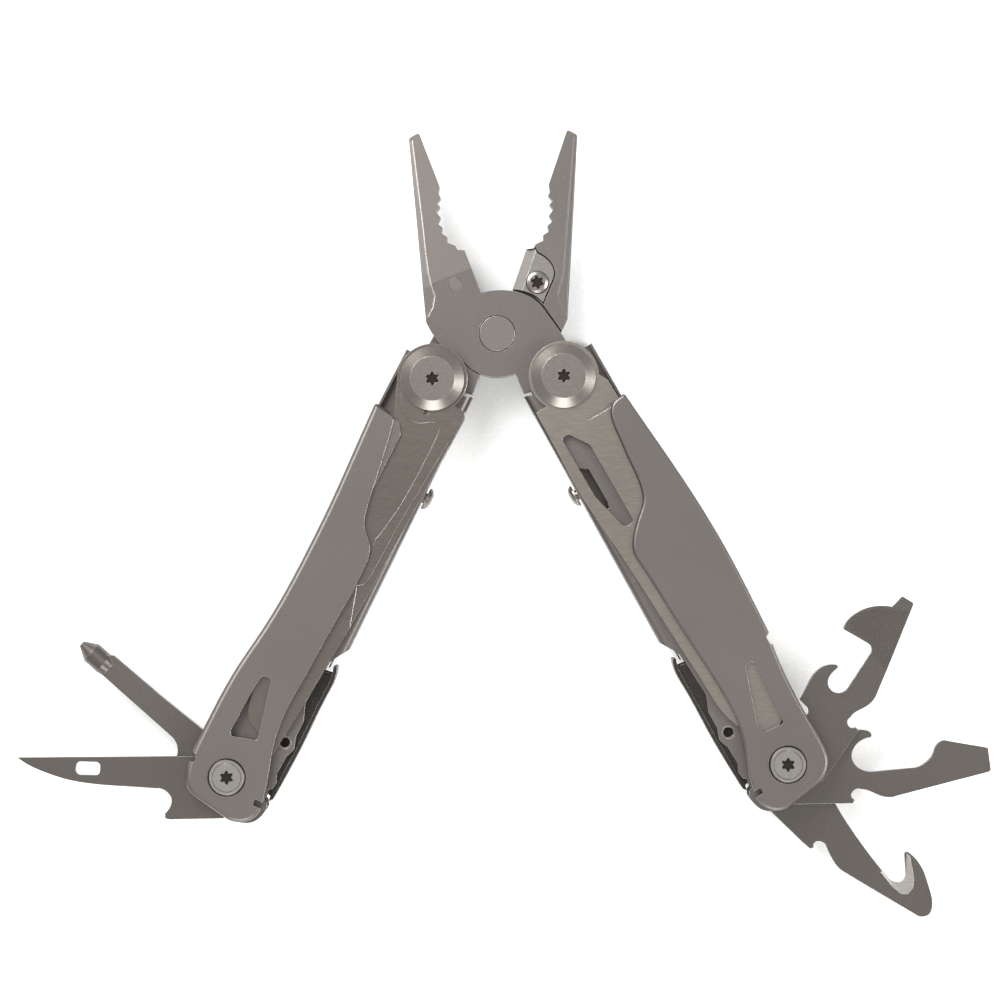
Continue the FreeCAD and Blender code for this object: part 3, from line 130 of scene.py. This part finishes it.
def metal(name, colour, rough, grain, grain_depth, shade=0.7, stretch=(1.0, 1.0, 1.0), turn=0.0,
          rounding=0.12, edge_highlight_strength=0.7):
    """A steel: colour and roughness wander, a grain of stated width in mm marks it, edges are painted
    light as a highlight.
    """
    material = bpy.data.materials.new(name)
    material.use_nodes = True
    tree = material.node_tree
    tree.nodes.clear()
    place = add(tree, "ShaderNodeTexCoord")
    lie = add(tree, "ShaderNodeMapping", links={"Vector": place.outputs["Object"]},
              Rotation=(0.0, 0.0, math.radians(turn)), Scale=stretch)
    # wide clouds from handling
    cloud = add(tree, "ShaderNodeTexNoise", links={"Vector": place.outputs["Object"]},
                Scale=per_mm(0.03), Detail=2.0, Roughness=0.5)
    # the grain left by the last working step
    fine = add(tree, "ShaderNodeTexNoise", links={"Vector": lie.outputs["Vector"]},
               Scale=per_mm(1.0 / grain), Detail=3.0, Roughness=0.7)
    both = add(tree, "ShaderNodeMix", {"data_type": "FLOAT"})
    both.inputs[0].default_value = 0.75
    tree.links.new(cloud.outputs["Fac"], both.inputs[2])
    tree.links.new(fine.outputs["Fac"], both.inputs[3])
    mixed = both.outputs[0]
    edge = add(tree, "ShaderNodeBevel", {"samples": 4}, Radius=rounding / 1000)
    bump = add(tree, "ShaderNodeBump", Strength=0.6, Distance=grain_depth / 1000,
               links={"Height": fine.outputs["Fac"], "Normal": edge.outputs["Normal"]})
    # painted highlight: where the bevel shading bends the normal, the edges are painted light
    flat = add(tree, "ShaderNodeNewGeometry")
    agree = add(tree, "ShaderNodeVectorMath", {"operation": "DOT_PRODUCT"})
    tree.links.new(edge.outputs["Normal"], agree.inputs[0])
    tree.links.new(flat.outputs["Normal"], agree.inputs[1])
    painted_edge_highlight = add(tree, "ShaderNodeMapRange", links={"Value": agree.outputs["Value"]},
                 From_Min=0.99, From_Max=0.90, To_Min=0.0, To_Max=edge_highlight_strength)
    # CFCBC6 is the light colour painted on the edges as a highlight
    blend = add(tree, "ShaderNodeMix", {"data_type": "RGBA"})
    blend.inputs[7].default_value = linear("CFCBC6")
    tree.links.new(painted_edge_highlight.outputs["Result"], blend.inputs[0])
    tree.links.new(shades(tree, mixed, darker(colour, shade), tuple(colour)), blend.inputs[6])
    skin = add(tree, "ShaderNodeBsdfPrincipled", Metallic=1.0,
               links={"Base Color": blend.outputs[2],
                      "Roughness": spread(tree, mixed, rough - 0.07, rough + 0.07),
                      "Normal": bump.outputs["Normal"]})
    add(tree, "ShaderNodeOutputMaterial", links={"Surface": skin.outputs["BSDF"]})
    return material


def painted(name, colour, rough, grain):
    """A matt painted surface with a faint roller texture."""
    material = bpy.data.materials.new(name)
    material.use_nodes = True
    tree = material.node_tree
    tree.nodes.clear()
    place = add(tree, "ShaderNodeTexCoord")
    noise = add(tree, "ShaderNodeTexNoise", links={"Vector": place.outputs["Object"]},
                Scale=per_mm(1.0 / grain), Detail=3.0)
    bump = add(tree, "ShaderNodeBump", links={"Height": noise.outputs["Fac"]}, Strength=0.1,
               Distance=0.0001)
    tint = shades(tree, noise.outputs["Fac"], darker(colour, 0.94), tuple(colour))
    skin = add(tree, "ShaderNodeBsdfPrincipled", Roughness=rough,
               links={"Base Color": tint, "Normal": bump.outputs["Normal"]})
    add(tree, "ShaderNodeOutputMaterial", links={"Surface": skin.outputs["BSDF"]})
    return material


# ---------------------------------------------------------------- mesh code


def show(name, corners, faces, place, material, body):
    """Make one piece from corners in mm in a piece's own frame; it rides on a body of the tool."""
    mesh = bpy.data.meshes.new(name)
    mesh.from_pydata([(place @ Vector(corner)) / 1000 for corner in corners], [], faces)
    mesh.validate()
    mesh.update()
    piece = bpy.data.objects.new(name, mesh)
    bpy.context.scene.collection.objects.link(piece)
    piece.data.materials.append(material)
    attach(piece, body)
    return piece


def ground_strip(outer, inner, level, lift, sink=0.1):
    """A ground face between two lines, almost flush at the outer one and raised by lift at the inner."""
    corners = []
    for (ox, oy), (ix, iy) in zip(outer, inner):
        corners.append((ox, oy, level(oy) + PROUD))
        corners.append((ix, iy, level(iy) + lift))
        corners.append((ix, iy, level(iy) - sink))
        corners.append((ox, oy, level(oy) - sink))
    faces = []
    for step in range(len(outer) - 1):
        base = 4 * step
        for side in range(4):
            following = (side + 1) % 4
            faces.append((base + side, base + following, base + 4 + following, base + 4 + side))
    last = len(corners) - 4
    faces.append((3, 2, 1, 0))
    faces.append((last, last + 1, last + 2, last + 3))
    return corners, faces


def ribs(spots, along, length, width, height, level):
    """Low ridges with a rounded top, each centred on a spot and lying along a bearing in degrees."""
    corners, faces = [], []
    ahead = Vector((math.cos(math.radians(along)), math.sin(math.radians(along)), 0.0))
    across = Vector((-ahead.y, ahead.x, 0.0))
    profile = [(-0.5, -0.05), (-0.3, 0.7), (0.0, 1.0), (0.3, 0.7), (0.5, -0.05)]
    for (x, y), share in spots:
        base = len(corners)
        for end in (-0.5, 0.5):
            for offset, rise in profile:
                spot = Vector((x, y, level)) + ahead * (end * length * share) + across * (offset * width)
                corners.append(tuple(spot + Vector((0.0, 0.0, rise * height))))
        count = len(profile)
        for step in range(count - 1):
            faces.append((base + step, base + step + 1, base + count + step + 1, base + count + step))
        faces.append(tuple(base + count - 1 - step for step in range(count)))
        faces.append(tuple(base + count + step for step in range(count)))
        faces.append((base, base + count, base + 2 * count - 1, base + count - 1))
    return corners, faces


def chord(outline, bearing, offset):
    """Middle and length of a line across an outline, at a bearing and an offset from the centre."""
    ahead = Vector((math.cos(math.radians(bearing)), math.sin(math.radians(bearing))))
    across = Vector((-ahead.y, ahead.x))
    hits = []
    for first, last in zip(outline, outline[1:] + outline[:1]):
        near = Vector(first).dot(across) - offset
        far = Vector(last).dot(across) - offset
        if near * far < 0:
            spot = Vector(first).lerp(Vector(last), near / (near - far))
            hits.append(spot.dot(ahead))
    if len(hits) < 2 or max(hits) - min(hits) < 0.8:
        return None
    middle = ahead * (min(hits) + max(hits)) / 2 + across * offset
    return (middle.x, middle.y), max(hits) - min(hits)


def socket_floor(radius, lobe, level, depth=0.15):
    """Floor of a driving socket with six lobes, or of a round hole when lobe is 0."""
    count = 48
    corners = []
    for height in (level, level - depth):
        for step in range(count):
            angle = 2 * math.pi * step / count
            reach = radius + lobe * math.cos(6 * angle)
            corners.append((reach * math.cos(angle), reach * math.sin(angle), height))
    faces = [tuple(range(count)), tuple(reversed(range(count, 2 * count)))]
    for step in range(count):
        following = (step + 1) % count
        faces.append((step, count + step, count + following, following))
    return corners, faces


# ---------------------------------------------------------------- settings


def tone(name, description, colour):
    """A colour property whose default is given as an sRGB hex colour."""
    return bpy.props.FloatVectorProperty(name=name, description=description, size=4, min=0.0, max=1.0,
                                         default=linear(colour), subtype="COLOR")


def length(name, description, millimetres):
    """A length property whose default is given in millimetres."""
    return bpy.props.FloatProperty(name=name, description=description, default=millimetres / 1000,
                                   min=0.0, max=5.0, precision=5, unit="LENGTH", subtype="DISTANCE")


class MultiToolSettings(bpy.types.PropertyGroup):
    """Sizes and colours of the tool's surfaces."""

    blast_grain: length("Blast Grain", "Width of a pit left by bead blasting", 0.22)
    grind_width: length("Grinding Line", "Width of a grinding line on a blade", 0.12)
    bevel_lift: length("Bevel Lift", "Rise of a ground bevel's inner line", 0.05)
    camera_height: length("Camera Height", "Camera above the table", 1110.0)
    forged_colour: tone("Jaws", "Blasted steel of the jaws", "6D6865")
    sheet_colour: tone("Handles", "Blasted sheet of the frames and covers", "706B68")
    left_blade_colour: tone("Left Blades", "Ground steel of the left handle's blades", "77706A")
    right_blade_colour: tone("Right Blades", "Ground steel of the right handle's blades", "908A82")
    cutter_colour: tone("Cutters", "Ground steel of the wire cutters", "8F8B87")
    small_colour: tone("Small Tools", "Satin steel of the small tools", "6B6662")
    screw_colour: tone("Screws", "Turned steel of the screws and pins", "86817B")
    rim_colour: tone("Axle Screws", "Polished steel of the axle screws", "ACA7A2")
    # painted shade: the springs' colour is darkened for the shade of the web
    spring_shade_colour: tone("Springs", "Oiled steel of the rockers and springs", "45423F")
    # also the colour of the painted highlight along the front jaw's bevel
    edge_colour: tone("Ground Edges", "Freshly ground steel of the bevels", "B5B1AC")
    table_colour: tone("Table Colour", "Lacquer of the table", "F8F8F7")
    lightbox_colour: tone("Lightbox Colour", "Colour of the light around the table", "F4F4F3")
    key_power: bpy.props.FloatProperty(
        name="Main Light", description="Power of the main soft light", default=17.0, min=0.0, max=500.0,
        unit="POWER")


# ---------------------------------------------------------------- operators


class MULTITOOL_OT_finish_steel(bpy.types.Operator):
    """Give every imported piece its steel"""

    bl_idname = "multitool.finish_steel"
    bl_label = "Finish Steel"

    def execute(self, context):
        sizes = context.scene.multi_tool
        blast = sizes.blast_grain * 1000
        line = sizes.grind_width * 1000
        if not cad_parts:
            raise RuntimeError("there are no packed pieces to finish")
        across = (0.06, 1.0, 1.0)
        # dull warm grey with a soft sparkle
        forged = metal("forged stainless, bead blasted", sizes.forged_colour, 0.40, blast, 0.006)
        # slightly smoother than the forgings
        sheet = metal("stainless sheet, bead blasted", sizes.sheet_colour, 0.40, blast, 0.005)
        # brown grey lines across the left handle's blades
        left_ground = metal("blade steel, ground across, left", sizes.left_blade_colour, 0.30, line,
                            0.004, stretch=across, turn=27.26)
        # brighter satin lines across the right handle's blades
        right_ground = metal("blade steel, ground across, right", sizes.right_blade_colour, 0.30, line,
                             0.004, stretch=across, turn=-29.96)
        # cooler and lighter than the jaws that hold them
        cutter = metal("hard steel, surface ground", sizes.cutter_colour, 0.32, line, 0.002,
                       stretch=across)
        # brown grey satin of the small tools
        small = metal("tool steel, satin ground", sizes.small_colour, 0.34, line, 0.003,
                      stretch=(0.3, 1.0, 1.0), turn=45.0)
        # screws and pins: cleaner and brighter, with broad reflections
        turned = metal("screw steel, turned and tumbled", sizes.screw_colour, 0.30, 0.35, 0.0012, 0.75,
                       rounding=0.08)
        # smooth bright heads
        polished = metal("screw steel, polished", sizes.rim_colour, 0.2, 0.8, 0.0002, 0.86, rounding=0.0,
                         edge_highlight_strength=0.0)
        # painted shade: the rockers, springs and standoffs are darkened as they lie in the shade of the
        # web
        dark = metal("spring steel, oil blackened", sizes.spring_shade_colour, 0.38, 0.3, 0.006, 0.4)
        finishes = {
            "jaw": forged, "frame": sheet, "cover": sheet, "knife": left_ground, "saw": left_ground,
            "sheepsfoot": right_ground, "file": right_ground, "awl": small, "driver": small,
            "opener": small, "strap": small, "axle_screw": polished, "rocker": dark, "spring": dark,
            "jaw_cutter": cutter, "cutter_screw": turned, "standoffs": dark,
        }
        for name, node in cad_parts.items():
            chosen = turned
            longest = 0
            for word, finish in finishes.items():
                if word in name and len(word) > longest:
                    chosen = finish
                    longest = len(word)
            node.data.materials.clear()
            node.data.materials.append(chosen)
        return {"FINISHED"}


def bright_steel():
    """Bright steel, made once and shared by all bevels: ground steel on the strap cutter's hook, a
    painted highlight on the front jaw's edge line.
    """
    name = "blade steel, freshly ground"
    # bright strips that catch the light beside the dull faces
    colour = bpy.context.scene.multi_tool.edge_colour
    found = bpy.data.materials.get(name)
    return found or metal(name, colour, 0.28, 0.3, 0.0002, 0.86, (0.1, 1.0, 1.0), edge_highlight_strength=0.0)


def jaw_face(y):
    """Level of a jaw's outer face, which thins towards the tip."""
    return JAW_HALF - max(0.0, y - JAW_TAPER_FROM) * JAW_TAPER


class MULTITOOL_OT_grind_jaws(bpy.types.Operator):
    """Grind the bevels along the outer edges of both jaws"""

    bl_idname = "multitool.grind_jaws"
    bl_label = "Grind Jaws"

    def execute(self, context):
        lift = context.scene.multi_tool.bevel_lift * 1000
        outer = [(-2.55, 41.8), (-4.70, 34.0), (-7.20, 25.0), (-8.60, 20.0), (-9.68, 16.0),
                 (-10.33, 13.5), (-11.0, 11.2), (-11.6, 9.5), (-12.1, 7.6)]
        inner = [(-2.05, 42.0), (-4.05, 34.0), (-6.3, 25.0), (-7.65, 20.0), (-8.6, 16.0), (-8.95, 13.5),
                 (-9.0, 11.4), (-10.1, 9.5), (-11.8, 7.9)]
        # a thin line along the inner edge of each jaw's bevel: on the front jaw it is a painted
        # highlight in the bright steel, on the back jaw it stays dull
        shine = [(x + 0.28, y + 0.05) for x, y in inner]
        dull = bpy.data.materials["stainless sheet, bead blasted"]
        faces_of = (("bevel", outer, inner, lift, dull, dull),
                    ("edge_line", inner, shine, 0.03, bright_steel(), dull))
        for word, first, second, rise, front_steel, back_steel in faces_of:
            corners, faces = ground_strip(first, second, jaw_face, rise)
            show("front_jaw_" + word, corners, faces, FRONT_JAW, front_steel, "front_jaw")
            corners = [(-x, y, z) for x, y, z in corners]
            faces = [tuple(reversed(face)) for face in faces]
            show("back_jaw_" + word, corners, faces, BACK_JAW, back_steel, "back_jaw")
        return {"FINISHED"}


class MULTITOOL_OT_grind_hook(bpy.types.Operator):
    """Grind the cutting edge inside the strap cutter's hook"""

    bl_idname = "multitool.grind_hook"
    bl_label = "Grind Hook"

    def execute(self, context):
        edge = [(-5.9, 29.75), (-4.2, 31.5), (-3.25, 32.6), (-2.4, 33.35), (-1.3, 33.55), (-0.2, 32.8),
                (0.2, 31.4), (0.12, 29.0)]
        bevel = [(-6.0, 30.6), (-4.6, 33.0), (-3.3, 34.9), (-2.0, 35.9), (-0.6, 36.1), (0.4, 35.2),
                 (0.8, 33.0), (0.6, 29.2)]
        corners, faces = ground_strip(edge, bevel, lambda y: STRAP_CUTTER_FACE, 0.14)
        show("strap_cutter_edge", corners, faces, STRAP_CUTTER, bright_steel(), "strap_cutter")
        return {"FINISHED"}


class MULTITOOL_OT_roll_grips(bpy.types.Operator):
    """Roll the ridges on the can opener's head"""

    bl_idname = "multitool.roll_grips"
    bl_label = "Roll Grips"

    def execute(self, context):
        head = [(-7.3, 28.9), (-7.4, 30.2), (-7.0, 31.9), (-5.9, 34.1), (-4.3, 35.8), (-2.3, 36.9),
                (0.6, 38.6), (2.0, 35.2), (4.4, 26.7), (0.5, 27.6), (-0.8, 29.1)]
        bearing = 24.0
        spots = [chord(head, bearing, 22.4 + 0.4 * step) for step in range(36)]
        corners, faces = ribs([spot for spot in spots if spot], bearing, 1.0, 0.2, 0.012, OPENER_FACE)
        # the small tools' steel again, without the painted edge highlight
        colour = context.scene.multi_tool.small_colour
        ribbed = metal("tool steel, finely rolled", darker(colour, 1.12), 0.34, 0.12, 0.001, edge_highlight_strength=0.0)
        show("can_opener_ridges", corners, faces, CAN_OPENER, ribbed, "can_opener")
        return {"FINISHED"}


class MULTITOOL_OT_shade_sockets(bpy.types.Operator):
    """Lay dark discs on the floors of the screw sockets and the lock pins as painted shade"""

    bl_idname = "multitool.oil_sockets"
    bl_label = "Shade Sockets"

    def execute(self, context):
        # painted shade: dark floors where the light does not reach into the sockets
        socket_shade = metal("socket floor, oiled and dusty", linear("34302D"), 0.45, 0.3, 0.004, 0.35)
        over = Matrix.Rotation(math.pi, 4, "Y")
        drop = Matrix.Translation((0.0, -AXLE_DROP, 0.0))
        sockets = []
        for hand, handle in (("left", LEFT_HANDLE), ("right", RIGHT_HANDLE)):
            body = hand + "_handle"
            sign = 1 if hand == "left" else -1
            sockets.append((hand + "_button", handle, body, BUTTON_SOCKET))
            sockets.append((hand + "_screw", handle @ drop, body, AXLE_SOCKET))
            pin = handle @ Matrix.Translation((LOCK_PIN[0] * sign, LOCK_PIN[1], 0.0))
            sockets.append((hand + "_pin", pin, body, PIN_HOLLOW))
        cutter = Matrix.Translation((*CUTTER_SCREW, 0.0))
        cutters = ((FRONT_JAW @ cutter, "front_jaw"), (BACK_JAW @ over @ cutter, "back_jaw"))
        for name, place, body, socket in sockets:
            for side, turned in (("front", Matrix.Identity(4)), ("rear", over)):
                corners, faces = socket_floor(*socket)
                show(name + "_floor_" + side, corners, faces, place @ turned, socket_shade, body)
        for place, body in cutters:
            corners, faces = socket_floor(*CUTTER_SOCKET)
            show(body + "_socket_floor", corners, faces, place @ over, socket_shade, body)
        return {"FINISHED"}


class MULTITOOL_OT_set_stage(bpy.types.Operator):
    """Lay the table, hang the soft lights and set the camera straight above"""

    bl_idname = "multitool.set_stage"
    bl_label = "Set Stage"

    def execute(self, context):
        sizes = context.scene.multi_tool
        scene = context.scene
        mesh = bpy.data.meshes.new("table_top")
        reach = 3.0
        rim = [(-reach, -reach, 0), (reach, -reach, 0), (reach, reach, 0), (-reach, reach, 0)]
        mesh.from_pydata(rim, [], [(0, 1, 2, 3)])
        table = bpy.data.objects.new("table_top", mesh)
        scene.collection.objects.link(table)
        # white lacquer that shows no gloss of its own
        mesh.materials.append(painted("lacquered board, rolled matt", sizes.table_colour, 0.7, 0.8))
        lights = [
            ("main_light", (-0.45, 0.55, 0.9), 0.8, sizes.key_power),
            ("side_light", (0.75, -0.1, 0.7), 0.5, sizes.key_power * 0.45),
            ("foot_light", (0.0, -0.8, 0.6), 0.6, sizes.key_power * 0.35),
        ]
        for name, spot, width, power in lights:
            light = bpy.data.lights.new(name, "AREA")
            light.shape = "DISK"
            light.size = width
            light.energy = power
            lamp = bpy.data.objects.new(name, light)
            lamp.location = spot
            lamp.rotation_euler = (-Vector(spot)).to_track_quat("-Z", "Y").to_euler()
            scene.collection.objects.link(lamp)
        world = bpy.data.worlds.new("lightbox")
        scene.world = world
        world.use_nodes = True
        world.node_tree.nodes["Background"].inputs["Color"].default_value = sizes.lightbox_colour
        world.node_tree.nodes["Background"].inputs["Strength"].default_value = 0.9
        lens = bpy.data.cameras.new("camera")
        lens.lens = 198.0
        lens.sensor_width = 36.0
        camera = bpy.data.objects.new("camera", lens)
        camera.location = (-0.0009, 0.0049, sizes.camera_height)
        scene.collection.objects.link(camera)
        scene.camera = camera
        scene.view_settings.view_transform = "Standard"
        return {"FINISHED"}


class MULTITOOL_PT_build(bpy.types.Panel):
    """Panel that lists the settings and the building steps"""

    bl_idname = "MULTITOOL_PT_build"
    bl_label = "Multi Tool"
    bl_space_type = "VIEW_3D"
    bl_region_type = "UI"
    bl_category = "Multi Tool"

    def draw(self, context):
        for name in MultiToolSettings.__annotations__:
            self.layout.prop(context.scene.multi_tool, name)
        for step in STEPS:
            self.layout.operator(step.bl_idname)


STEPS = (MULTITOOL_OT_finish_steel, MULTITOOL_OT_grind_jaws, MULTITOOL_OT_grind_hook,
         MULTITOOL_OT_roll_grips, MULTITOOL_OT_shade_sockets, MULTITOOL_OT_set_stage)
CLASSES = (MultiToolSettings, *STEPS, MULTITOOL_PT_build)


def register():
    for kind in CLASSES:
        bpy.utils.register_class(kind)
    bpy.types.Scene.multi_tool = bpy.props.PointerProperty(type=MultiToolSettings)


def unregister():
    del bpy.types.Scene.multi_tool
    for kind in reversed(CLASSES):
        bpy.utils.unregister_class(kind)


def main():
    register()
    bpy.ops.multitool.finish_steel()
    bpy.ops.multitool.grind_jaws()
    bpy.ops.multitool.grind_hook()
    bpy.ops.multitool.roll_grips()
    bpy.ops.multitool.oil_sockets()
    bpy.ops.multitool.set_stage()


if __name__ == "__main__":
    main()
